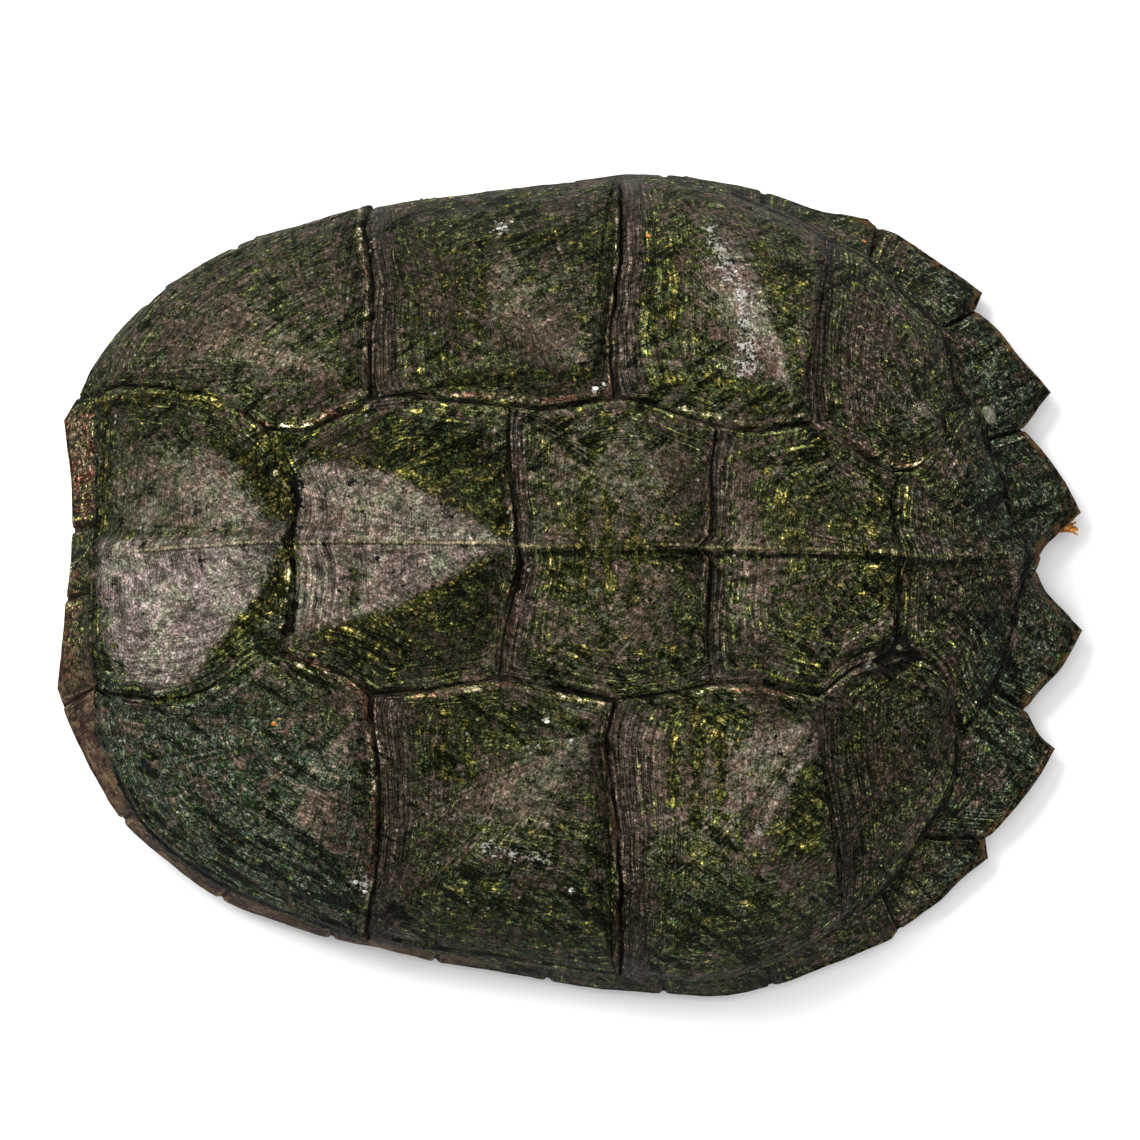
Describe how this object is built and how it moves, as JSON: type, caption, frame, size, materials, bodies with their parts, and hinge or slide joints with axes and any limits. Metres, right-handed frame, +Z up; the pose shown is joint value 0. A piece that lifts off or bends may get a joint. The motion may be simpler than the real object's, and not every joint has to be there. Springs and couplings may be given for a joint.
{
  "type": "turtle shell",
  "caption": "Domed upper shell of a snapping turtle: ridged, overlapping scutes, a low central keel and a saw-toothed tail end, hollow below.",
  "frame": {"origin": "middle of the shell's outline, on the surface that its side rims rest on", "axes": "+X towards the tail end, +Y towards the animal's right side, +Z up out of the dome"},
  "size_m": [0.319, 0.2587, 0.0978],
  "materials": {
    "horn_scutes": "dark olive and brown horny scutes with growth ridges, half dull and half waxy, stained with dry green algae"
  },
  "bodies": {
    "root": {"carapace": "horn_scutes"}
  },
  "joints": []
}
